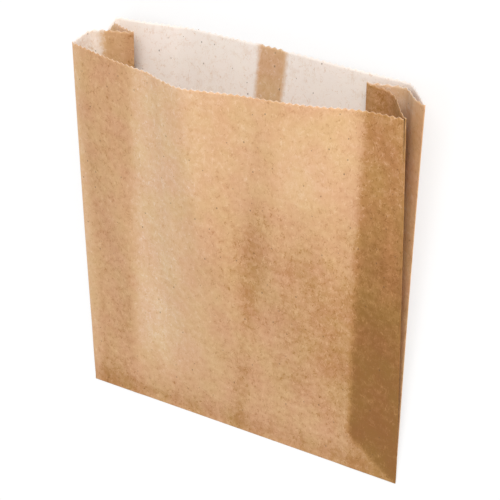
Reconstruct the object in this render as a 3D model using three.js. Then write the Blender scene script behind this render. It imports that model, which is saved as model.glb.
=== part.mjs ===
// A side-gusseted paper disposal bag, folded and glued from one sheet of thin
// waxed kraft paper. It lies on its back panel with its mouth a little open.
// X runs across the bag, +Y points to the mouth, +Z points out of the front
// panel. Millimetres. The origin is the middle of the footprint, on the floor.
import * as THREE from "three";

// Driving dimensions of the flat bag
const panelWidth = 229;       // front and back panel, side fold to side fold
const frontHeight = 256.6;    // bottom fold to the cut edge of the front panel
const lip = 6.5;              // how far the back panel stands past the front one
const gussetDepth = 35;       // side fold to inner fold of a gusset
const paper = 0.3;            // wall, thicker than the real paper so that it holds as a solid
const layerPitch = 0.8;       // between the middles of two layers in the flat bottom
const seamWidth = 17.5;       // overlap of the sheet's two edges, down the back panel
const seamOffset = 1;         // middle of that seam, right of the bag's middle
const seamRaise = 0.3;        // second layer of paper in the seam
const turnUpHeight = 18;      // bottom of the tube, turned onto the back and glued
const turnUpThickness = 0.8;  // the layers in that strip
const toothPitch = 4;         // saw cut of the mouth
const toothDepth = 1;

// Driving dimensions of the open mouth
const mouthOpening = 64;      // highest point of the front panel above the floor
const cornerRadius = 0.6;     // half the gap between two layers at a fold of the mouth
const curlDrop = 11;          // the back left corner is curled down by this much
const curlReach = 9;          // how far along the edge that curl reaches
const flatLength = 3;         // stretch above the bottom fold that stays shut
const easeLength = 32;        // the back panel comes down to the floor over this length
const backDrift = 0.028;      // the middle of the back panel sits left at the mouth, as a share of its width
const spreadPower = 1.5;      // the sides come in late, as the panels arch toward the mouth

// How finely the curves are cut
const frontColumns = 30;
const backColumns = 26;
const gussetColumns = 7;

const halfWidth = panelWidth / 2;

// Mouth outlines, seen from the mouth. Each point is [across, up]: across as a
// share of half the panel width, up as a share of the mouth opening.
const frontMouth = [
  [-0.935, 0.705], [-0.81, 0.765], [-0.68, 0.82], [-0.54, 0.86], [-0.41, 0.885], [-0.31, 0.945],
  [-0.175, 1], [-0.04, 0.955], [0.16, 0.88], [0.41, 0.815], [0.55, 0.75], [0.68, 0.675],
  [0.8, 0.63], [0.96, 0.605],
];
const backMouth = [
  [1.03, 0.465], [0.985, 0.36], [0.925, 0.225], [0.85, 0.09], [0.74, 0.07], [0.5, 0.06],
  [0.22, 0.02], [0, 0], [-0.44, 0], [-0.57, 0.05], [-0.7, 0.115], [-0.81, 0.15],
  [-0.87, 0.168], [-0.9, 0.205],
];

// Gusset outlines run from a side fold to the inner fold. Here across is the
// distance in from the side fold, as a share of the gusset depth.
const rightFrontMouth = [
  [0.12, 0.53], [0.24, 0.44], [0.41, 0.316], [0.54, 0.25], [0.72, 0.208], [0.98, 0.2],
];
const rightBackMouth = [
  [0.05, 0.365], [0.16, 0.287], [0.26, 0.215], [0.37, 0.155], [0.48, 0.132], [0.66, 0.14], [0.98, 0.175],
];
const leftFrontMouth = [
  [0.06, 0.62], [0.055, 0.54], [0.06, 0.46], [0.1, 0.405], [0.24, 0.377], [0.48, 0.355], [0.74, 0.333],
];
const leftBackMouth = [[0.28, 0.235], [0.37, 0.258], [0.54, 0.285], [0.74, 0.3]];
const leftFoldAcross = 0.84;   // how far in the inner folds lie at the mouth
const rightFoldAcross = 1.06;
const sideAcross = 0.97;       // where the gussets are counted from, as a share of half the width

const easeCurve = (from, to, value) => THREE.MathUtils.smoothstep(value, from, to);

function mouthPoint([across, up]) {
  return new THREE.Vector2(across * halfWidth, up * mouthOpening + paper / 2);
}

// A gusset outline as points in millimetres, from the side fold to the inner fold
const gussetX = (side, across) => side * (halfWidth * sideAcross - across * gussetDepth);

function gussetOutline(side, outline) {
  return outline.map(([across, up]) => new THREE.Vector2(gussetX(side, across), up * mouthOpening));
}

// The three points of a fold: a half turn round its middle, its tip facing a
// direction. Outer folds are passed on the left, inner ones on the right.
function foldPoints(middle, facing, radius, turn) {
  const tip = facing.clone().normalize().multiplyScalar(radius);
  const left = new THREE.Vector2(-tip.y, tip.x).multiplyScalar(turn);
  return [middle.clone().add(left), middle.clone().add(tip), middle.clone().sub(left)];
}

// Where each fold lies in the flat bottom and at the mouth
const layerHeight = (layer) => turnUpThickness + paper / 2 + layer * layerPitch;

function fold({ layer, inset, bottomFacing, across, up, mouthFacing, turn, height }) {
  const side = Math.sign(across);
  const bottomRadius = layerPitch / 2;
  const bottomMiddle = new THREE.Vector2(side * (halfWidth - inset), layerHeight(layer));
  const mouthMiddle = new THREE.Vector2(across * halfWidth, up * mouthOpening);
  const bottom = foldPoints(bottomMiddle, new THREE.Vector2(bottomFacing, 0), bottomRadius, turn);
  const mouth = foldPoints(mouthMiddle, new THREE.Vector2(...mouthFacing), cornerRadius, turn);
  return bottom.map((point, index) => ({ bottom: point, mouth: mouth[index], height }));
}

function sideFold(side, layer, across, up, mouthFacing, height) {
  const inset = layerPitch / 2;
  return fold({ layer, inset, bottomFacing: side, across: side * across, up, mouthFacing, turn: 1, height });
}

function innerFold(side, foldAcross, up) {
  const inset = gussetDepth - layerPitch / 2;
  const across = gussetX(side, foldAcross) / halfWidth;
  const facing = -side;
  const mouthFacing = [facing, 0];
  const height = frontHeight + lip / 2;
  return fold({ layer: 1.5, inset, bottomFacing: facing, across, up, mouthFacing, turn: -1, height });
}

// Columns between two folds: evenly spaced on the flat bottom and along the mouth
function panel(start, end, outline, shares, marks = {}, drift = 0) {
  const from = start[2];
  const to = end[0];
  const mouth = new THREE.SplineCurve([from.mouth, ...outline, to.mouth]);
  return shares.map((share) => ({
    bottom: from.bottom.clone().lerp(to.bottom, share),
    mouth: mouth.getPointAt(share + drift * 4 * share * (1 - share)),
    height: THREE.MathUtils.lerp(from.height, to.height, share),
    bow: 4 * share * (1 - share),
    ...marks,
  }));
}

const evenShares = (count) => Array.from({ length: count }, (_, index) => (index + 1) / (count + 1));

// The back panel has a pair of close columns at each side of the seam
function backShares() {
  const stepWidth = 0.2;
  const share = (x) => (halfWidth - x) / panelWidth;
  const edges = [seamOffset + seamWidth / 2, seamOffset - seamWidth / 2];
  const pairs = edges.flatMap((edge) => [share(edge + stepWidth / 2), share(edge - stepWidth / 2)]);
  const isClear = (value) => pairs.every((pair) => Math.abs(pair - value) > 0.008);
  const clear = evenShares(backColumns).filter(isClear);
  return [...clear, ...pairs].sort((a, b) => a - b);
}

function bagLoop() {
  const frontLeft = sideFold(-1, 2.5, 0.95, 0.7, [-0.8, 0.6], frontHeight);
  const frontRight = sideFold(1, 2.5, 0.975, 0.6, [0.9, 0.42], frontHeight);
  const backRight = sideFold(1, 0.5, 1.04, 0.485, [0.6, 0.8], frontHeight + lip);
  const backLeft = sideFold(-1, 0.5, 0.918, 0.265, [-0.5, 0.87], frontHeight + lip);
  const rightInner = innerFold(1, rightFoldAcross, 0.185);
  const leftInner = innerFold(-1, leftFoldAcross, 0.312);
  const corner = backLeft[1].mouth;
  const gussetShares = evenShares(gussetColumns);
  const rightFront = gussetOutline(1, rightFrontMouth);
  const rightBack = gussetOutline(1, rightBackMouth).reverse();
  const leftFront = gussetOutline(-1, leftFrontMouth).reverse();
  const leftBack = gussetOutline(-1, leftBackMouth);
  const backOutline = backMouth.map(mouthPoint);
  const backPanel = markSeam(panel(backRight, backLeft, backOutline, backShares(), { back: true }, backDrift));
  return [
    ...panel(frontLeft, frontRight, frontMouth.map(mouthPoint), evenShares(frontColumns)),
    ...frontRight,
    ...panel(frontRight, rightInner, rightFront, gussetShares),
    ...rightInner,
    ...panel(rightInner, backRight, rightBack, gussetShares),
    ...backRight,
    ...curl(backPanel, corner),
    ...curl(backLeft, corner),
    ...curl(panel(backLeft, leftInner, leftBack, gussetShares), corner),
    ...leftInner,
    ...panel(leftInner, frontLeft, leftFront, gussetShares),
    ...frontLeft,
  ];
}

// The curled corner shortens the columns near it
function curl(columns, corner) {
  return columns.map((column) => {
    const away = column.mouth.distanceTo(corner);
    return { ...column, height: column.height - curlDrop * (1 - easeCurve(0, curlReach, away)) };
  });
}

function markSeam(columns) {
  const inSeam = (x) => Math.abs(x - seamOffset) < seamWidth / 2;
  return columns.map((column) => ({ ...column, seam: inSeam(column.bottom.x) }));
}

// Lengths up the paper at which the bag is cut into rings, from the bottom fold
const innerFloor = 2;
const noseLength = 1.6;
const mouthBand = 6;
const stripEdge = 0.1;
const easeEnd = turnUpHeight + easeLength;
const noseLengths = [0, 0.25, 0.56, 1].map((share) => share * noseLength);
const easeLengths = [0.25, 0.5, 0.75, 1].map((share) => turnUpHeight + share * easeLength);
const nearLengths = [
  ...noseLengths, innerFloor, turnUpHeight / 2, turnUpHeight, turnUpHeight + stripEdge, ...easeLengths,
];
const farShares = [0.33, 0.67];

// A column's middle point at a length up the paper
function pointOn(column, length) {
  const open = Math.max(0, (length - flatLength) / (column.height - flatLength));
  const lowered = turnUpThickness * easeCurve(turnUpHeight, easeEnd, length);
  const rise = (column.mouth.y - column.bottom.y) / column.height;
  return {
    x: THREE.MathUtils.lerp(column.bottom.x, column.mouth.x, open ** spreadPower),
    y: length * Math.sqrt(1 - rise * rise),
    z: THREE.MathUtils.lerp(column.bottom.y - lowered, column.mouth.y, open),
  };
}

// Moves a closed ring of points sideways by a distance for each point. The
// ring runs clockwise as seen from the bottom, so a positive one goes outward.
function offsetRing(ring, distances) {
  const count = ring.length;
  return ring.map((point, index) => {
    const before = ring[(index + count - 1) % count];
    const after = ring[(index + 1) % count];
    const arriving = new THREE.Vector2(before.z - point.z, point.x - before.x).normalize();
    const leaving = new THREE.Vector2(point.z - after.z, after.x - point.x).normalize();
    const normal = arriving.clone().add(leaving).normalize();
    const reach = distances[index] / Math.max(normal.dot(arriving), 0.6);
    return { x: point.x + normal.x * reach, y: point.y, z: point.z + normal.y * reach };
  });
}

// The outline by which a flat end is cut into faces. Its straight stretches bow
// in by a hair, so that no face takes three points that lie on one line.
function bowedIn(ring, loop) {
  const hair = 0.02;
  return offsetRing(ring, loop.map((column) => -hair * (column.bow ?? 0)));
}

// The rounded edge of the bottom fold
function roundNose(ring, length) {
  if (length >= noseLength) return ring;
  const middle = (layerHeight(3) + paper / 2) / 2;
  const across = 1 - length / noseLength;
  const scale = Math.max(0.3, Math.sqrt(1 - across * across));
  return ring.map((point) => ({ ...point, z: middle + (point.z - middle) * scale }));
}

function ringsOf(loop) {
  const mouthLength = (column) => column.height - mouthBand;
  const near = nearLengths.map((length) => () => length);
  const far = farShares.map((share) => (column) => THREE.MathUtils.lerp(easeEnd, mouthLength(column), share));
  const lengths = [...near, ...far, mouthLength];
  return lengths.map((lengthOf) => loop.map((column) => pointOn(column, lengthOf(column))));
}

function outerRings(loop) {
  const half = loop.map(() => paper / 2);
  return ringsOf(loop).map((ring, index) => {
    const length = nearLengths[index] ?? Infinity;
    const onStrip = length <= turnUpHeight;
    const skin = offsetRing(ring, half).map((point, column) => (
      loop[column].back && onStrip ? { ...point, z: 0 } : point));
    return roundNose(skin, length);
  });
}

const innerDistance = (column) => -(paper / 2 + (column.seam ? seamRaise : 0));

function innerRings(loop) {
  const distances = loop.map(innerDistance);
  return ringsOf(loop).slice(nearLengths.indexOf(innerFloor)).map((ring) => offsetRing(ring, distances));
}

// The saw-toothed cut: for each gap between two columns, a chain of points on
// the outer skin and one on the inner skin
function cutEdge(loop) {
  const count = loop.length;
  const ends = loop.map((column) => pointOn(column, column.height));
  const outer = offsetRing(ends, loop.map(() => paper / 2));
  const inner = offsetRing(ends, loop.map(innerDistance));
  const toothAt = (distance) => {
    const phase = (distance / toothPitch) % 1;
    return -toothDepth * Math.abs(2 * phase - 1);
  };
  const between = (ring, index, share, drop) => {
    const from = ring[index];
    const to = ring[(index + 1) % count];
    return {
      x: THREE.MathUtils.lerp(from.x, to.x, share),
      y: THREE.MathUtils.lerp(from.y, to.y, share) + drop,
      z: THREE.MathUtils.lerp(from.z, to.z, share),
    };
  };
  let travelled = 0;
  return ends.map((end, index) => {
    const next = ends[(index + 1) % count];
    const start = travelled;
    const gap = Math.hypot(next.x - end.x, next.z - end.z);
    travelled += gap;
    const halfPitch = toothPitch / 2;
    const shares = [0];
    for (let mark = (Math.floor(start / halfPitch) + 1) * halfPitch; mark < travelled; mark += halfPitch) {
      const share = (mark - start) / gap;
      if (share * gap > 0.15 && (1 - share) * gap > 0.15) shares.push(share);
    }
    const drops = shares.map((share) => toothAt(start + share * gap));
    return {
      outer: shares.map((share, step) => between(outer, index, share, drops[step])),
      inner: shares.map((share, step) => between(inner, index, share, drops[step])),
    };
  });
}

// Collects points and faces of one closed surface
class Skin {
  constructor() {
    this.positions = [];
    this.faces = [];
  }

  add(point) {
    this.positions.push(point.x, point.y, point.z);
    return this.positions.length / 3 - 1;
  }

  ring(points) {
    return points.map((point) => this.add(point));
  }

  // Faces between two rings, looking outward
  band(lower, upper) {
    const count = lower.length;
    for (let index = 0; index < count; index += 1) {
      const next = (index + 1) % count;
      this.faces.push(lower[index], upper[next], upper[index]);
      this.faces.push(lower[index], lower[next], upper[next]);
    }
  }

  // Faces from two neighbouring ring points up to a chain of finer ones
  fan(left, right, chain) {
    const middle = Math.floor((chain.length - 1) / 2);
    chain.slice(1).forEach((point, step) => {
      this.faces.push(step < middle ? left : right, point, chain[step]);
    });
    this.faces.push(left, right, chain[middle]);
  }

  // Closes a ring with a flat face, cut up by an outline in the same order
  flat(ring, outline, towardBottom) {
    const corners = outline.map(({ x, z }) => new THREE.Vector2(x, z));
    THREE.ShapeUtils.triangulateShape(corners, []).forEach(([a, b, c]) => {
      const area = (corners[b].x - corners[a].x) * (corners[c].y - corners[a].y)
        - (corners[b].y - corners[a].y) * (corners[c].x - corners[a].x);
      const flip = (area > 0) !== towardBottom;
      this.faces.push(ring[a], ring[flip ? c : b], ring[flip ? b : c]);
    });
  }

  reverse(from) {
    for (let index = from; index < this.faces.length; index += 3) {
      [this.faces[index + 1], this.faces[index + 2]] = [this.faces[index + 2], this.faces[index + 1]];
    }
  }

  geometry() {
    const geometry = new THREE.BufferGeometry();
    geometry.setAttribute("position", new THREE.Float32BufferAttribute(this.positions, 3));
    geometry.setIndex(this.faces);
    geometry.computeVertexNormals();
    return geometry;
  }
}

// One skin from its rings up to the cut edge; returns the cut edge's points
function addSkin(skin, rings, chains) {
  const placed = rings.map((ring) => skin.ring(ring));
  placed.slice(1).forEach((ring, index) => skin.band(placed[index], ring));
  const last = placed[placed.length - 1];
  const edge = chains.map((chain) => skin.ring(chain));
  edge.forEach((chain, index) => {
    const next = (index + 1) % edge.length;
    skin.fan(last[index], last[next], [...chain, edge[next][0]]);
  });
  return { first: placed[0], edge: edge.flat() };
}

function bagGeometry() {
  const loop = bagLoop();
  const skin = new Skin();
  const outer = outerRings(loop);
  const inner = innerRings(loop);
  const cut = cutEdge(loop);
  const outside = addSkin(skin, outer, cut.map((gap) => gap.outer));
  skin.flat(outside.first, bowedIn(outer[0], loop), true);
  const insideStart = skin.faces.length;
  const inside = addSkin(skin, inner, cut.map((gap) => gap.inner));
  skin.reverse(insideStart);
  skin.flat(inside.first, bowedIn(inner[0], loop), false);
  skin.band(outside.edge, inside.edge);
  return skin.geometry();
}

// Sets the origin at the middle of the footprint, on the floor
function centred(geometry) {
  geometry.computeBoundingBox();
  const { min, max } = geometry.boundingBox;
  return geometry.translate(-(min.x + max.x) / 2, -(min.y + max.y) / 2, -min.z);
}

const waxedKraft = new THREE.MeshStandardMaterial({ color: 0xcfa577, roughness: 0.6, metalness: 0 });

const bag = new THREE.Mesh(centred(bagGeometry()), waxedKraft);
bag.name = "bag";

const object = new THREE.Group();
object.add(bag);

export default object;
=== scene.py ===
# A side-gusseted disposal bag of thin waxed kraft paper. It lies on its back
# panel on a plain white floor, with its mouth a little open.
import math

import bpy
import numpy as np
from mathutils import Matrix, Vector


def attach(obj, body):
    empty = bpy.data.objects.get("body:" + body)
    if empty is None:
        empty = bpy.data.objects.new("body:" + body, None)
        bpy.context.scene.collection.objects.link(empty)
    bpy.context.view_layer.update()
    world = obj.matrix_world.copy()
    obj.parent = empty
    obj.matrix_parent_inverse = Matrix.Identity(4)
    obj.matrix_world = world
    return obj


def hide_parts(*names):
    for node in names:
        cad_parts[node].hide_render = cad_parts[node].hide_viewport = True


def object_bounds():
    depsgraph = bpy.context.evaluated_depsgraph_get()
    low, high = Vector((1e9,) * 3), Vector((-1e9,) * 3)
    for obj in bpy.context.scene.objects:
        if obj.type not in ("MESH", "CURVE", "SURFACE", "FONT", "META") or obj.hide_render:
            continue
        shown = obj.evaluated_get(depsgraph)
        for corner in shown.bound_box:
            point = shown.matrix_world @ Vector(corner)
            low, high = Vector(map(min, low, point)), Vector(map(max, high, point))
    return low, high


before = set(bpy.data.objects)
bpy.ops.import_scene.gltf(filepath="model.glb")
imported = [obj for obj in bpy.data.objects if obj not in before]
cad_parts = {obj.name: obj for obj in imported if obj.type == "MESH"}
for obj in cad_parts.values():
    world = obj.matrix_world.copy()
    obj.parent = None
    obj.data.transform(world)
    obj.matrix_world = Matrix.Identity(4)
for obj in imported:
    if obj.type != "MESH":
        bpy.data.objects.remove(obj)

CAD_LOW, CAD_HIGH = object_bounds()
MM = 0.001

# Driving dimensions of the flat bag, in millimetres, as in the part
PANEL_WIDTH = 229.0
FRONT_HEIGHT = 256.6
LIP = 6.5
GUSSET_DEPTH = 35.0
SEAM_WIDTH = 17.5
SEAM_OFFSET = 1.0
TURN_UP = 18.0
TOOTH_PITCH = 4.0
TOOTH_DEPTH = 1.1
HALF_WIDTH = PANEL_WIDTH / 2

# The paper itself, as thin as the real one
PAPER = 0.12
LAYER_PITCH = 0.3
LAYER_CLEARANCE = 0.25
STRIP = 0.45
SEAM_RAISE = 0.12
NOSE = 0.6

# How far the paper stands proud of its plain shape
FRONT_FLUTES = 0.32
OTHER_FLUTES = 0.06
COCKLE = 0.035
CREASE_RISE = 0.3
CREASE_SPREAD = 3.0
CREASE_START = (76, 31)
CREASE_END = (113, 2)
RIM_STIFFNESS = 0.35

# The open mouth
MOUTH_OPENING = 64.0
CORNER_RADIUS = 0.3
CURL_DROP = 11.0
CURL_REACH = 9.0
FLAT_LENGTH = 3.0
EASE_LENGTH = 32.0
SPREAD_POWER = 1.5
BACK_DRIFT = 0.028

# Mouth outlines. Across is a share of half the panel width, or for a gusset the
# distance in from the side fold as a share of its depth. Up is a share of the
# mouth opening.
FRONT_MOUTH = [
    (-0.935, 0.705), (-0.81, 0.765), (-0.68, 0.82), (-0.54, 0.86), (-0.41, 0.885), (-0.31, 0.945),
    (-0.175, 1.0), (-0.04, 0.955), (0.16, 0.88), (0.41, 0.815), (0.55, 0.75), (0.68, 0.675),
    (0.8, 0.63), (0.96, 0.605),
]
BACK_MOUTH = [
    (1.03, 0.465), (0.985, 0.36), (0.925, 0.225), (0.85, 0.09), (0.74, 0.07), (0.5, 0.06),
    (0.22, 0.02), (0.0, 0.0), (-0.44, 0.0), (-0.57, 0.05), (-0.7, 0.115), (-0.81, 0.15),
    (-0.87, 0.168), (-0.9, 0.205),
]
RIGHT_FRONT_MOUTH = [(0.12, 0.53), (0.24, 0.44), (0.41, 0.316), (0.54, 0.25), (0.72, 0.208), (0.98, 0.2)]
RIGHT_BACK_MOUTH = [
    (0.05, 0.365), (0.16, 0.287), (0.26, 0.215), (0.37, 0.155), (0.48, 0.132), (0.66, 0.14), (0.98, 0.175),
]
LEFT_FRONT_MOUTH = [
    (0.06, 0.62), (0.055, 0.54), (0.06, 0.46), (0.1, 0.405), (0.24, 0.377), (0.48, 0.355), (0.74, 0.333),
]
LEFT_BACK_MOUTH = [(0.28, 0.235), (0.37, 0.258), (0.54, 0.285), (0.74, 0.3)]
LEFT_FOLD_ACROSS = 0.84
RIGHT_FOLD_ACROSS = 1.06
SIDE_ACROSS = 0.97

# How finely the paper is cut
FOLD_POINTS = 5
ROW_STEP = 2.8
NOSE_ROWS = [0, 0.1, 0.3, 0.6, 1, 2, 4, 7, 10, 13, 15.5]
STRIP_ROW = len(NOSE_ROWS)
INNER_FLOOR_ROW = 5

FRONT, RIGHT_FRONT, RIGHT_BACK, BACK, LEFT_BACK, LEFT_FRONT = range(6)
# Each half of a gusset, after the layer under it
STACKED = [(BACK, RIGHT_BACK), (RIGHT_BACK, RIGHT_FRONT), (BACK, LEFT_BACK), (LEFT_BACK, LEFT_FRONT)]


def smooth(low, high, value):
    share = np.clip((value - low) / (high - low), 0, 1)
    return share * share * (3 - 2 * share)


def mix(low, high, share):
    return low + (high - low) * share


def mouth_points(outline):
    return [(across * HALF_WIDTH, up * MOUTH_OPENING + PAPER / 2) for across, up in outline]


def gusset_x(side, across):
    return side * (HALF_WIDTH * SIDE_ACROSS - across * GUSSET_DEPTH)


def gusset_points(side, outline):
    return [(gusset_x(side, across), up * MOUTH_OPENING) for across, up in outline]


def round_fold(middle, facing, radius, turn):
    """Points of a half turn round a fold's middle, its tip facing a direction."""
    tip = math.atan2(facing[1], facing[0])
    angles = tip + turn * np.linspace(math.pi / 2, -math.pi / 2, FOLD_POINTS)
    return np.stack([middle[0] + radius * np.cos(angles), middle[1] + radius * np.sin(angles)], axis=1)


def layer_height(layer):
    return STRIP + PAPER / 2 + layer * LAYER_PITCH


def fold(layer, inset, bottom_facing, across, up, mouth_facing, turn, height, panel):
    side = math.copysign(1, across)
    bottom = round_fold(
        (side * (HALF_WIDTH - inset), layer_height(layer)), (bottom_facing, 0), LAYER_PITCH / 2, turn)
    mouth = round_fold((across * HALF_WIDTH, up * MOUTH_OPENING), mouth_facing, CORNER_RADIUS, turn)
    return {"bottom": bottom, "mouth": mouth, "height": np.full(FOLD_POINTS, height),
            "tooth": np.zeros(FOLD_POINTS), "panel": np.full(FOLD_POINTS, panel)}


def side_fold(side, layer, across, up, mouth_facing, height, panel):
    return fold(layer, LAYER_PITCH / 2, side, side * across, up, mouth_facing, 1, height, panel)


def inner_fold(side, across, up, panel):
    inset = GUSSET_DEPTH - LAYER_PITCH / 2
    middle = gusset_x(side, across) / HALF_WIDTH
    return fold(1.5, inset, -side, middle, up, (-side, 0), -1, FRONT_HEIGHT + LIP / 2, panel)


def even_curve(points, shares):
    """Points at shares of the length of a smooth curve through some points."""
    points = np.array(points, dtype=float)
    padded = np.vstack([2 * points[0] - points[1], points, 2 * points[-1] - points[-2]])
    steps = np.linspace(0, 1, 24, endpoint=False)[:, None]
    stretches = []
    for a, b, c, d in zip(padded[:-3], padded[1:-2], padded[2:-1], padded[3:]):
        stretches.append(0.5 * (2 * b + (c - a) * steps + (2 * a - 5 * b + 4 * c - d) * steps ** 2
                                + (3 * b - a - 3 * c + d) * steps ** 3))
    curve = np.vstack(stretches + [points[-1:]])
    travelled = np.concatenate([[0], np.cumsum(np.linalg.norm(np.diff(curve, axis=0), axis=1))])
    wanted = np.asarray(shares) * travelled[-1]
    return np.stack([np.interp(wanted, travelled, curve[:, axis]) for axis in range(2)], axis=1)


def panel_columns(start, end, outline, panel, extra=(), drift=0.0):
    """Columns between two folds, one for each half tooth and one close to each fold."""
    width = np.linalg.norm(end["bottom"][0] - start["bottom"][-1])
    count = 2 * round(width / TOOTH_PITCH)
    marks = np.arange(1, count)
    beside = 0.3 / count
    shares = np.concatenate([[beside], marks / count, [1 - beside], extra])
    shares = np.unique(shares.round(6))
    keep = [not any(0 < abs(share - mark) < 0.12 / count for mark in extra) for share in shares]
    shares = shares[keep]
    phase = shares * count % 2
    drifted = shares + drift * 4 * shares * (1 - shares)
    mouth = even_curve([start["mouth"][-1], *outline, end["mouth"][0]], drifted)
    return {"bottom": start["bottom"][-1] + (end["bottom"][0] - start["bottom"][-1]) * shares[:, None],
            "mouth": mouth,
            "height": mix(start["height"][-1], end["height"][0], shares),
            "tooth": 1 - np.abs(phase - 1),
            "panel": np.full(len(shares), panel)}


def seam_shares():
    """Close pairs of columns at both edges of the back seam, counted from the right."""
    edges = [SEAM_OFFSET + SEAM_WIDTH / 2, SEAM_OFFSET - SEAM_WIDTH / 2]
    return [(HALF_WIDTH - edge - step) / PANEL_WIDTH for edge in edges for step in (0.08, -0.08)]


def bag_loop():
    """All columns of the tube, once round it, starting at the front panel's left."""
    front_left = side_fold(-1, 2.5, 0.95, 0.7, (-0.8, 0.6), FRONT_HEIGHT, FRONT)
    front_right = side_fold(1, 2.5, 0.975, 0.6, (0.9, 0.42), FRONT_HEIGHT, FRONT)
    back_right = side_fold(1, 0.5, 1.04, 0.485, (0.6, 0.8), FRONT_HEIGHT + LIP, BACK)
    back_left = side_fold(-1, 0.5, 0.918, 0.265, (-0.5, 0.87), FRONT_HEIGHT + LIP, BACK)
    right_inner = inner_fold(1, RIGHT_FOLD_ACROSS, 0.185, RIGHT_FRONT)
    left_inner = inner_fold(-1, LEFT_FOLD_ACROSS, 0.312, LEFT_FRONT)
    parts = [
        panel_columns(front_left, front_right, mouth_points(FRONT_MOUTH), FRONT),
        front_right,
        panel_columns(front_right, right_inner, gusset_points(1, RIGHT_FRONT_MOUTH), RIGHT_FRONT),
        right_inner,
        panel_columns(right_inner, back_right, gusset_points(1, RIGHT_BACK_MOUTH)[::-1], RIGHT_BACK),
        back_right,
        panel_columns(back_right, back_left, mouth_points(BACK_MOUTH), BACK, seam_shares(), BACK_DRIFT),
        back_left,
        panel_columns(back_left, left_inner, gusset_points(-1, LEFT_BACK_MOUTH), LEFT_BACK),
        left_inner,
        panel_columns(left_inner, front_left, gusset_points(-1, LEFT_FRONT_MOUTH)[::-1], LEFT_FRONT),
        front_left,
    ]
    loop = {key: np.concatenate([part[key] for part in parts]) for key in parts[0]}
    curl_corner(loop, back_left["mouth"][FOLD_POINTS // 2])
    steps = np.linalg.norm(loop["bottom"] - np.roll(loop["bottom"], 1, axis=0), axis=1)
    steps[0] = 0
    loop["round"] = np.cumsum(steps)
    return loop


def curl_corner(loop, corner):
    """The curled back left corner shortens the columns near it."""
    away = np.linalg.norm(loop["mouth"] - corner, axis=1)
    near = np.isin(loop["panel"], (BACK, LEFT_BACK))
    loop["height"] = loop["height"] - np.where(near, CURL_DROP * (1 - smooth(0, CURL_REACH, away)), 0)


def row_lengths(loop):
    """How far up the paper each point lies: one row of columns for each ring."""
    height, tooth = loop["height"], loop["tooth"]
    ones = np.ones(len(height))
    strip_edge = TURN_UP - tooth * TOOTH_DEPTH
    low, high = TURN_UP + 2, height - 6
    shares = np.linspace(0, 1, round((FRONT_HEIGHT - low) / ROW_STEP))
    body = [mix(low, high, share) for share in shares]
    rim = [height - 3.8, height - 2.2, height - tooth * TOOTH_DEPTH]
    nose = [length * ones for length in NOSE_ROWS]
    return np.array([*nose, strip_edge, strip_edge + 0.1, *body, *rim])


def paper_middle(loop, lengths):
    """The middle of the paper, for each row and column."""
    bottom, mouth, height = loop["bottom"], loop["mouth"], loop["height"]
    opened = np.clip((lengths - FLAT_LENGTH) / (height - FLAT_LENGTH), 0, None)
    lowered = STRIP * smooth(TURN_UP, TURN_UP + EASE_LENGTH, lengths)
    rise = (mouth[:, 1] - bottom[:, 1]) / height
    x = mix(bottom[:, 0], mouth[:, 0], opened ** SPREAD_POWER)
    z = mix(bottom[:, 1] - lowered, mouth[:, 1], opened)
    return np.stack([x, lengths * np.sqrt(1 - rise ** 2), z], axis=2)


def paper_normals(points):
    """Outward directions, longer at a fold so that the paper keeps its thickness."""
    along = np.roll(points, -1, axis=1) - points
    up = np.gradient(points, axis=0)
    up = up / np.linalg.norm(up, axis=2, keepdims=True)
    leaving = np.cross(up, along)
    leaving /= np.maximum(np.linalg.norm(leaving, axis=2, keepdims=True), 1e-9)
    arriving = np.roll(leaving, 1, axis=1)
    normal = leaving + arriving
    normal /= np.maximum(np.linalg.norm(normal, axis=2, keepdims=True), 1e-9)
    cosine = np.maximum((normal * arriving).sum(axis=2, keepdims=True), 0.6)
    return -normal / cosine


def soft_waves(across, up, seed, wavelengths, count):
    """A smooth random height field with a mean size of about one."""
    random = np.random.default_rng(seed)
    field = np.zeros_like(up)
    for _ in range(count):
        size_across = random.uniform(*wavelengths[0])
        size_up = random.uniform(*wavelengths[1])
        lean = random.uniform(-0.25, 0.25)
        phase = random.uniform(0, 2 * math.pi)
        field += np.sin(2 * math.pi * ((across + lean * up) / size_across + up / size_up) + phase)
    return field / math.sqrt(count / 2)


def relief(loop, lengths):
    """How far the paper stands proud of its plain shape, in millimetres."""
    across = loop["round"] * np.ones_like(lengths)
    top = loop["height"] - lengths
    opened = lengths / loop["height"]
    depth = np.where(loop["panel"] == FRONT, FRONT_FLUTES, OTHER_FLUTES)
    long_waves = soft_waves(across, lengths, 3, ((34, 80), (260, 700)), 7)
    flutes = long_waves * depth * smooth(0.05, 0.6, opened)
    short_waves = soft_waves(across, lengths, 8, ((9, 26), (14, 48)), 16)
    cockle = short_waves * COCKLE * smooth(4, 30, lengths)
    bottom_across = loop["bottom"][:, 0] * np.ones_like(lengths)
    above, ends = from_crease(bottom_across, lengths)
    ridge = np.exp(-(above / CREASE_SPREAD) ** 2) * ends
    crease = np.where(loop["panel"] == FRONT, ridge, 0) * CREASE_RISE
    return (flutes + cockle) * mix(RIM_STIFFNESS, 1, smooth(0, 30, top)) * away_from_folds(loop) + crease


def away_from_folds(loop):
    """Nothing at a fold, so that its tight turn stays open, and one a few millimetres off."""
    across = np.abs(loop["bottom"][:, 0])
    off_side = smooth(0.3, 5, HALF_WIDTH - across)
    gusset = np.isin(loop["panel"], (FRONT, BACK), invert=True)
    off_inner = smooth(0.3, 5, across - (HALF_WIDTH - GUSSET_DEPTH))
    return off_side * np.where(gusset, off_inner, 1)


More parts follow.
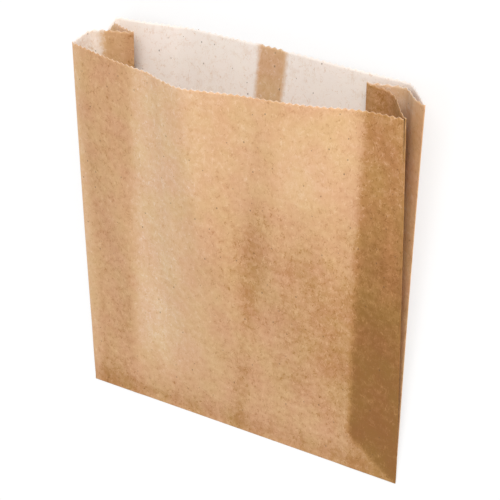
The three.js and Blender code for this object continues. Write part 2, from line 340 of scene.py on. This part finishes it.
def from_crease(across, lengths):
    """Distance above a slight crease across the front's bottom right corner, and
    one along the crease itself."""
    run = math.dist(CREASE_START, CREASE_END)
    along_x, along_y = [(end - start) / run for start, end in zip(CREASE_START, CREASE_END)]
    right_of, up_from = across - CREASE_START[0], lengths - CREASE_START[1]
    travelled = right_of * along_x + up_from * along_y
    above = up_from * along_x - right_of * along_y
    ends = smooth(-6, 8, travelled) * (1 - smooth(run - 3, run + 2, travelled))
    return above, ends


def rest_on_gussets(loop, lengths):
    """The front panel sinks beside the gussets, where fewer layers lie under it."""
    across = np.abs(loop["bottom"][:, 0])
    inside = smooth(0, 7, HALF_WIDTH - GUSSET_DEPTH - across)
    fading = 1 - smooth(20, 160, lengths)
    return np.where(loop["panel"] == FRONT, -2 * LAYER_PITCH * inside * fading * 0.8, 0)


def keep_apart(loop, middle):
    """Each half of a gusset stays clear of the layer under it, between its folds."""
    across = np.abs(loop["bottom"][:, 0])
    off_fold = 0.4
    gusset = (across > HALF_WIDTH - GUSSET_DEPTH + off_fold) & (across < HALF_WIDTH - off_fold)
    between = gusset | ((loop["panel"] == BACK) & (across < HALF_WIDTH - off_fold))
    for lower, upper in STACKED:
        under = np.flatnonzero(between & (loop["panel"] == lower))
        over = np.flatnonzero(gusset & (loop["panel"] == upper))
        for ring in middle:
            ordered = under[np.argsort(ring[under, 0])]
            level = np.interp(ring[over, 0], ring[ordered, 0], ring[ordered, 2])
            ring[over, 2] = np.maximum(ring[over, 2], level + LAYER_CLEARANCE)


def round_nose(points, lengths):
    """The rounded edge of the bottom fold."""
    middle = (layer_height(3) + PAPER / 2) / 2
    scale = np.sqrt(1 - np.clip(1 - lengths / NOSE, 0, 0.99) ** 2)
    points[:, :, 2] = middle + (points[:, :, 2] - middle) * scale


def bag_skins():
    """Outer and inner skin as grids of points, with what the material needs."""
    loop = bag_loop()
    lengths = row_lengths(loop)
    middle = paper_middle(loop, lengths)
    middle = middle + paper_normals(middle) * relief(loop, lengths)[:, :, None]
    middle[:, :, 2] = np.maximum(middle[:, :, 2] + rest_on_gussets(loop, lengths), PAPER / 2)
    keep_apart(loop, middle)
    normals = paper_normals(middle)
    in_seam = (loop["panel"] == BACK) & (np.abs(loop["bottom"][:, 0] - SEAM_OFFSET) < SEAM_WIDTH / 2)
    outer = middle + normals * PAPER / 2
    inner = middle - normals * (PAPER / 2 + np.where(in_seam, SEAM_RAISE, 0)[:, None])
    beside_fold = np.abs(loop["bottom"][:, 0]) > HALF_WIDTH - 1
    on_strip = (loop["panel"] == BACK) & ~beside_fold & (np.arange(len(lengths)) <= STRIP_ROW)[:, None]
    outer[:, :, 2] = np.where(on_strip, 0, np.maximum(outer[:, :, 2], 0))
    round_nose(outer, lengths)
    return loop, lengths, outer, inner


def bag_faces(rows, columns):
    """Faces of both skins, the two closed ends and the cut edge at the mouth."""
    index = np.arange(rows * columns).reshape(rows, columns)
    inner_start = rows * columns

    def grid(first, last, offset, flip):
        low, high = index[first:last] + offset, index[first + 1:last + 1] + offset
        quads = np.stack([low, np.roll(low, -1, axis=1), np.roll(high, -1, axis=1), high], axis=2)
        quads = quads.reshape(-1, 4)
        return (quads[:, ::-1] if flip else quads).tolist()

    shift = inner_start - index[INNER_FLOOR_ROW, 0]
    outer_edge = index[-1]
    inner_edge = index[-1] + shift
    rim = np.stack([outer_edge, np.roll(outer_edge, -1), np.roll(inner_edge, -1), inner_edge], axis=1)
    faces = grid(0, rows - 1, 0, False) + grid(INNER_FLOOR_ROW, rows - 1, shift, True) + rim.tolist()
    faces.append(index[0][::-1].tolist())
    faces.append((index[INNER_FLOOR_ROW] + shift).tolist())
    return faces


def layers_seen(loop, lengths, inside):
    """How brown the paper is painted for the light that comes through it, from 0 for one layer
    with light behind it to 1 for many layers pressed together."""
    across = loop["bottom"][:, 0] * np.ones_like(lengths)
    tone = np.zeros_like(lengths)
    shade = inside_tone if inside else outside_tone
    for panel in range(6):
        tone = np.where(loop["panel"] == panel, shade(panel, across, lengths), tone)
    return tone


def patch(across, up, reach):
    """A soft round patch, one at its middle."""
    return np.exp(-(across ** 2 + up ** 2) / reach ** 2)


def front_body(across, lengths, left_border):
    """The middle of the front panel, with painted light through the paper: paler toward the open mouth,
    beside the left gusset and where the paper lifts, and painted shade in patches right of the middle.
    """
    opened = smooth(105, 225, lengths)
    beyond = across - left_border
    # Painted light beside the left gusset and at a lifted patch, painted shade right of the middle
    pale = 0.21 * (1 - smooth(20, 78, beyond)) * smooth(5, 60, lengths) * (1 - 0.45 * opened)
    brown = 0.12 * smooth(5, 75, across) * smooth(0, 90, lengths) * (1 - smooth(110, 230, lengths))
    painted_lift_light = 0.08 * patch(across - 50, lengths - 207, 20)
    painted_shade_spot = 0.05 * patch(across - 14, lengths - 150, 34)
    return mix(0.61, 0.515, opened) - pale + brown + seam_shadow(across, lengths) - painted_lift_light + painted_shade_spot


def seam_shadow(across, lengths):
    """The back seam, faintly seen through the front panel."""
    middle = 0.142 * lengths - 1.5
    depth = 0.07 + 0.02 * smooth(60, 130, lengths) - 0.04 * smooth(140, 200, lengths)
    reach = mix(9, 14, smooth(60, 130, lengths))
    return depth * (1 - smooth(0.1, 1, np.abs(across - middle) / reach))


def front_tone(across, lengths):
    """The front panel, with the layers behind it painted as shadows that show through it, a painted
    highlight along its left fold and painted shade in its bottom left corner.
    """
    left_border = -79.8 + 0.062 * lengths
    right_border = 80 + 0.032 * lengths
    above_crease, _ = from_crease(across, lengths)
    # Painted shadows of the two gussets behind the front panel, seen through the paper
    left = 1 - smooth(-1, 1, (across - left_border) / 6)
    right = smooth(-1, 1, (across - right_border) / mix(2.5, 5.5, lengths / FRONT_HEIGHT))
    right = right * mix(0.25, 1, smooth(-3, 2, above_crease))
    tone = front_body(across, lengths, left_border)
    tone = mix(tone, mix(0.66, 0.61, smooth(0, 120, lengths)), left)
    tone = mix(tone, mix(1.0, 0.78, smooth(60, 256, lengths)), right)
    # A painted highlight along the rounded left fold
    painted_fold_highlight = (1 - smooth(-113, -104, across)) * 0.16
    # Painted shade of the turned-up strip seen through the bottom edge
    painted_strip_shade = (1 - smooth(6, 20, lengths)) * 0.09
    corner_shade = 0.12 * patch(across + 114, lengths, 18)
    return tone - painted_fold_highlight + painted_strip_shade + corner_shade


def on_seam(across):
    """One on the seam's double layer and nothing beside it."""
    return 1 - smooth(-0.05, 0.05, np.abs(across - SEAM_OFFSET) - SEAM_WIDTH / 2)


def outside_tone(panel, across, lengths):
    if panel == FRONT:
        return front_tone(across, lengths)
    if panel == BACK:
        # Painted as the shade of more layers on the seam, the turned-up strip and under the gussets, where
        # less light comes through
        strip = (1 - smooth(TURN_UP - 0.5, TURN_UP + 0.5, lengths)) * 0.2
        gusset = smooth(69, 76, np.abs(across)) * 0.1
        return 0.5 + on_seam(across) * 0.14 + strip + gusset
    if panel == RIGHT_BACK:
        # The deep part of the right gusset's back half is painted paler to make up for the shade under the
        # front panel's edge
        return mix(0.36, mix(0.62, 0.54, smooth(60, 250, lengths)), smooth(104, 114, across))
    return mix(0.55, 0.4, smooth(0, 250, lengths))


# Inside the bag the back, the front and the left gusset's outer part are painted pale, as painted light
# through one layer and to make up for the shade inside the bag; the back and front are painted browner
# toward the bottom as painted shade.
def inside_tone(panel, across, lengths):
    if panel == BACK:
        return on_seam(across) * 0.42 + 0.2 * (1 - smooth(0, 150, lengths))
    if panel == FRONT:
        return 0.2 + 0.2 * (1 - smooth(0, 150, lengths))
    if panel == RIGHT_FRONT:
        return np.full_like(lengths, 0.74)
    if panel == LEFT_FRONT:
        # Painted shade in a narrow strip beside the left gusset's inner fold
        painted_inner_fold_shade = 0.12 * smooth(-84.5, -82.5, across)
        return mix(0.54, 0.08, smooth(92, 98, -across)) + painted_inner_fold_shade
    return np.full_like(lengths, 0.5)


# The inside's grain differs from the outside's by being read this far off, in millimetres
INSIDE_SHIFT = 40


def make_bag():
    loop, lengths, outer, inner = bag_skins()
    rows, columns = lengths.shape
    cad_middle = (CAD_LOW + CAD_HIGH) / 2 / MM
    width_middle = (outer[:, :, 0].min() + outer[:, :, 0].max()) / 2
    length_middle = outer[:, :, 1].max() / 2
    placed = np.concatenate([outer.reshape(-1, 3), inner[INNER_FLOOR_ROW:].reshape(-1, 3)])
    placed[:, 0] += cad_middle.x - width_middle
    placed[:, 1] += cad_middle.y - length_middle
    mesh = bpy.data.meshes.new("bag_paper")
    mesh.from_pydata((placed * MM).tolist(), [], bag_faces(rows, columns))
    mesh.shade_smooth()
    cut = np.zeros_like(lengths)
    cut[-1] = 1
    around = loop["round"] * np.ones_like(lengths)

    def both(outer_values, inner_values):
        return np.concatenate([outer_values.ravel(), inner_values[INNER_FLOOR_ROW:].ravel()])

    add_float(mesh, "layers", both(layers_seen(loop, lengths, False), layers_seen(loop, lengths, True)))
    add_float(mesh, "cut", both(cut, cut))
    side = both(lengths * 0, lengths * 0 + INSIDE_SHIFT)
    sheet = np.stack([both(around, around), both(lengths, lengths), side], axis=1)
    attribute = mesh.attributes.new("sheet", "FLOAT_VECTOR", "POINT")
    attribute.data.foreach_set("vector", sheet.ravel())
    bag = bpy.data.objects.new("bag_paper", mesh)
    bpy.context.scene.collection.objects.link(bag)
    return bag


def add_float(mesh, name, values):
    attribute = mesh.attributes.new(name, "FLOAT", "POINT")
    attribute.data.foreach_set("value", values.ravel())


class Nodes:
    """Short names for building a material's nodes."""

    def __init__(self, name):
        self.material = bpy.data.materials.new(name)
        self.material.use_nodes = True
        self.tree = self.material.node_tree
        self.tree.nodes.clear()

    def add(self, kind, inputs=None, **settings):
        node = self.tree.nodes.new("ShaderNode" + kind)
        for key, value in settings.items():
            setattr(node, key, value)
        for key, value in (inputs or {}).items():
            if isinstance(value, bpy.types.NodeSocket):
                self.tree.links.new(value, node.inputs[key])
            else:
                node.inputs[key].default_value = value
        return node

    def math(self, operation, first, second=0.0):
        return self.add("Math", {0: first, 1: second}, operation=operation).outputs[0]

    def noise(self, vector, scale, detail=2.0, roughness=0.5):
        inputs = {"Vector": vector, "Scale": scale, "Detail": detail, "Roughness": roughness}
        return self.add("TexNoise", inputs).outputs["Fac"]

    def stretched(self, vector, scale, turn=0.0):
        node = self.add("Mapping", {"Vector": vector, "Rotation": (0, 0, turn), "Scale": scale})
        return node.outputs[0]

    def ranged(self, value, low, high, to_low=0.0, to_high=1.0):
        inputs = {"Value": value, "From Min": low, "From Max": high, "To Min": to_low, "To Max": to_high}
        return self.add("MapRange", inputs).outputs[0]


def srgb(red, green, blue):
    """A colour as read off a screen, made linear."""
    channels = [value / 255 for value in (red, green, blue)]
    linear = [value / 12.92 if value <= 0.04045 else ((value + 0.055) / 1.055) ** 2.4 for value in channels]
    return [*linear, 1]


# The paper's colour with painted light through it, from one layer with light behind it to many pressed
# together
PAPER_TONES = [
    (0.0, srgb(250, 243, 236)), (0.15, srgb(236, 220, 205)), (0.36, srgb(223, 188, 151)),
    (0.5, srgb(214, 173, 130)), (0.62, srgb(205, 160, 117)), (0.8, srgb(177, 127, 73)),
    (1.0, srgb(144, 97, 41)),
]


SPECK = srgb(96, 66, 38)
SPECK_DEPTH = 0.55
LIGHT_THROUGH = 0.2
BUMP_HEIGHT = 0.00016


def hairs(nodes, sheet, scale, turn):
    """Short curved fibres: contour lines of a soft noise, broken up by another."""
    field = nodes.noise(nodes.stretched(sheet, scale, turn), 1.0, 1, 0.4)
    away = nodes.math("ABSOLUTE", nodes.math("SUBTRACT", field, 0.5))
    line = nodes.ranged(away, 0.008, 0.03, 1.0, 0.0)
    broken = nodes.ranged(nodes.noise(nodes.stretched(sheet, (0.3, 0.2, 1), turn), 1.0, 1), 0.45, 0.55)
    return nodes.math("MULTIPLY", line, broken)


def with_specks(nodes, sheet, color):
    """Small dark specks of bark in the paper."""
    cells = nodes.add("TexVoronoi", {"Vector": nodes.stretched(sheet, (1, 0.7, 1), 0.3), "Scale": 0.1},
                      voronoi_dimensions="2D")
    chance = nodes.add("SeparateColor", {"Color": cells.outputs["Color"]})
    chosen = nodes.math("GREATER_THAN", chance.outputs[0], 0.6)
    size = nodes.ranged(chance.outputs[1], 0, 1, 0.02, 0.05)
    near = nodes.math("LESS_THAN", cells.outputs["Distance"], size)
    depth = nodes.math("MULTIPLY", nodes.math("MULTIPLY", near, chosen), SPECK_DEPTH)
    return nodes.add("MixRGB", {0: depth, 1: color, 2: SPECK}).outputs[0]


def added(nodes, first, *rest):
    """The sum of several values."""
    for value in rest:
        first = nodes.math("ADD", first, value)
    return first


def paper_color(nodes, sheet, clouds, formation, fibres, pale_hairs, dark_hairs):
    """Brown by the layers seen, with the grain of the sheet and a painted highlight along the cut edge."""
    layers = nodes.add("Attribute", attribute_name="layers").outputs["Fac"]
    cut = nodes.add("Attribute", attribute_name="cut").outputs["Fac"]
    tone = added(
        nodes,
        nodes.ranged(clouds, 0.35, 0.65, -0.028, 0.028),
        nodes.ranged(formation, 0.3, 0.7, -0.07, 0.07),
        nodes.ranged(fibres, 0.3, 0.7, -0.025, 0.025),
        nodes.math("MULTIPLY", pale_hairs, -0.11),
        nodes.math("MULTIPLY", dark_hairs, 0.14),
        layers,
        # A painted highlight along the cut edge at the mouth
        nodes.ranged(cut, 0.6, 1.0, 0.0, -0.26))
    ramp = nodes.add("ValToRGB", {"Fac": tone})
    elements = ramp.color_ramp.elements
    elements[0].position, elements[0].color = PAPER_TONES[0]
    elements[1].position, elements[1].color = PAPER_TONES[-1]
    for position, color in PAPER_TONES[1:-1]:
        elements.new(position).color = color
    patches = nodes.noise(nodes.stretched(sheet, (1, 0.8, 1), 0.5), 0.05, 2)
    warmth = nodes.ranged(patches, 0.35, 0.65, 0.4945, 0.506)
    tinted = nodes.add("HueSaturation", {"Hue": warmth, "Color": ramp.outputs["Color"]}).outputs[0]
    return with_specks(nodes, sheet, tinted)


def paper_bump(nodes, formation, fibres, pale_hairs, dark_hairs):
    height = added(
        nodes,
        nodes.math("MULTIPLY", fibres, 0.5),
        nodes.math("MULTIPLY", formation, 0.6),
        nodes.math("MULTIPLY", pale_hairs, 0.7),
        nodes.math("MULTIPLY", dark_hairs, -0.7))
    return nodes.add("Bump", {"Height": height, "Strength": 0.4, "Distance": BUMP_HEIGHT}).outputs[0]


def waxed_kraft():
    nodes = Nodes("waxed_kraft")
    sheet = nodes.add("Attribute", attribute_name="sheet").outputs["Vector"]
    clouds = nodes.noise(sheet, 0.045, 3)
    formation = nodes.noise(sheet, 0.22, 4, 0.6)
    fibres = nodes.noise(nodes.stretched(sheet, (1.3, 0.3, 1), 0.06), 1.0, 2, 0.6)
    pale_hairs = hairs(nodes, sheet, (0.42, 0.24, 1), 0.25)
    dark_hairs = hairs(nodes, sheet, (0.5, 0.3, 1), -0.4)
    color = paper_color(nodes, sheet, clouds, formation, fibres, pale_hairs, dark_hairs)
    bump = paper_bump(nodes, formation, fibres, pale_hairs, dark_hairs)
    roughness = nodes.ranged(formation, 0.3, 0.7, 0.48, 0.62)
    paper = nodes.add("BsdfPrincipled", {
        "Base Color": color, "Roughness": roughness, "Normal": bump, "Specular IOR Level": 0.35})
    through = nodes.add("BsdfTranslucent", {"Color": color, "Normal": bump})
    both = nodes.add("MixShader", {0: LIGHT_THROUGH, 1: paper.outputs[0], 2: through.outputs[0]})
    nodes.add("OutputMaterial", {"Surface": both.outputs[0]})
    return nodes.material


FLOOR_HALF = 6.0
FLOOR_LEVEL = -0.0001
FLOOR_GREY = (0.86, 0.86, 0.86, 1)
FLOOR_GLOW = 0.7


def white_floor():
    """Matte for the light in the scene, and nearly plain white to the camera."""
    nodes = Nodes("white_floor")
    seen = nodes.add("LightPath").outputs["Is Camera Ray"]
    matte = nodes.add("BsdfDiffuse", {"Color": FLOOR_GREY})
    bright = nodes.add("Emission", {"Color": (1, 1, 1, 1), "Strength": 1.0})
    share = nodes.math("MULTIPLY", seen, FLOOR_GLOW)
    both = nodes.add("MixShader", {0: share, 1: matte.outputs[0], 2: bright.outputs[0]})
    nodes.add("OutputMaterial", {"Surface": both.outputs[0]})
    return nodes.material


def make_floor():
    mesh = bpy.data.meshes.new("floor")
    signs = [(-1, -1), (1, -1), (1, 1), (-1, 1)]
    corners = [(x * FLOOR_HALF, y * FLOOR_HALF, FLOOR_LEVEL) for x, y in signs]
    mesh.from_pydata(corners, [], [(0, 1, 2, 3)])
    floor = bpy.data.objects.new("floor", mesh)
    bpy.context.scene.collection.objects.link(floor)
    floor.data.materials.append(white_floor())


def make_lamp(name, place, size, power):
    """A square lamp that points at the origin."""
    light = bpy.data.lights.new(name, "AREA")
    light.shape = "SQUARE"
    light.size = size
    light.energy = power
    lamp = bpy.data.objects.new(name, light)
    lamp.location = place
    lamp.rotation_euler = (-Vector(place)).to_track_quat("-Z", "Y").to_euler()
    bpy.context.scene.collection.objects.link(lamp)


# Each lamp's name, place in metres, width in metres and power in watts
LAMPS = [
    ("key", (0.6, 1.8, 1.8), 1.6, 53),
    ("side", (1.8, 0.1, 0.32), 0.5, 13),
    ("fill", (-0.6, -1.0, 1.9), 1.6, 12),
]
WORLD_LIGHT = 0.62


def make_world(strength):
    world = bpy.data.worlds.new("studio")
    world.use_nodes = True
    background = world.node_tree.nodes["Background"]
    background.inputs["Color"].default_value = (1, 1, 1, 1)
    background.inputs["Strength"].default_value = strength
    bpy.context.scene.world = world


# The camera of the photograph, in metres, and how far its top leans
CAMERA_PLACE = Vector((0.46512, 0.43320, 0.85365))
CAMERA_AIM = Vector((0.00718, 0.00716, 0.02))
CAMERA_LEAN = math.radians(3.915)
CAMERA_LENS = 122.28


def make_camera():
    data = bpy.data.cameras.new("camera")
    data.sensor_width = 36
    data.lens = CAMERA_LENS
    data.clip_end = 50
    camera = bpy.data.objects.new("camera", data)
    back = (CAMERA_PLACE - CAMERA_AIM).normalized()
    top = Vector((0, 1, 0))
    top = (top - back * top.dot(back)).normalized()
    right = top.cross(back)
    turned = Matrix((right, top, back)).transposed().to_4x4()
    camera.matrix_world = Matrix.Translation(CAMERA_PLACE) @ turned @ Matrix.Rotation(CAMERA_LEAN, 4, "Z")
    bpy.context.scene.collection.objects.link(camera)
    bpy.context.scene.camera = camera


bag = make_bag()
bag.data.materials.append(waxed_kraft())
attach(bag, "root")
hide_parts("bag")

make_floor()
make_world(WORLD_LIGHT)
for lamp_name, lamp_place, lamp_size, lamp_power in LAMPS:
    make_lamp(lamp_name, lamp_place, lamp_size, lamp_power)
make_camera()
bpy.context.scene.view_settings.view_transform = "Standard"
